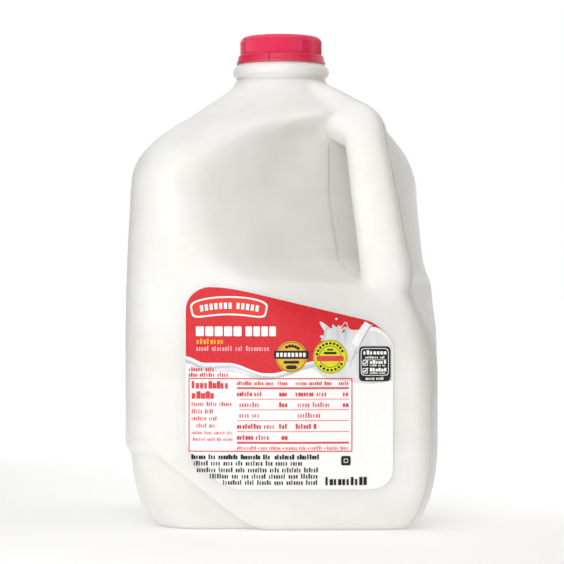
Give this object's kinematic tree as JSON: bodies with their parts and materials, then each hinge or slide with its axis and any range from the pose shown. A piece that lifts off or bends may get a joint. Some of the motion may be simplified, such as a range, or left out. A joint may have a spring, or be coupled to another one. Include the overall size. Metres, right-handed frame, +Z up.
{
  "type": "plastic milk jug",
  "caption": "Blow-moulded plastic milk jug with a hollow corner handle, shut by a ribbed snap cap, with a shaped label on one front face.",
  "frame": {"origin": "middle of the jug's box at the height of the surface that it stands on; the neck's axis is within 0.2 mm of it", "axes": "+Z up along the neck, +X towards the handle corner, in the plane where the moulds part; the four flat faces stand at 45 degrees to X and Y and the label is on the one between -Y and +X"},
  "size_m": [0.2019, 0.1914, 0.2435],
  "materials": {
    "bottle_plastic": "translucent natural plastic, blow-moulded, satin, white from the milk inside",
    "cap_plastic": "injection-moulded, finely ribbed, satin gloss",
    "label_film": null
  },
  "bodies": {
    "root": {"jug": "bottle_plastic", "cap": "cap_plastic", "label": "label_film"}
  },
  "joints": []
}
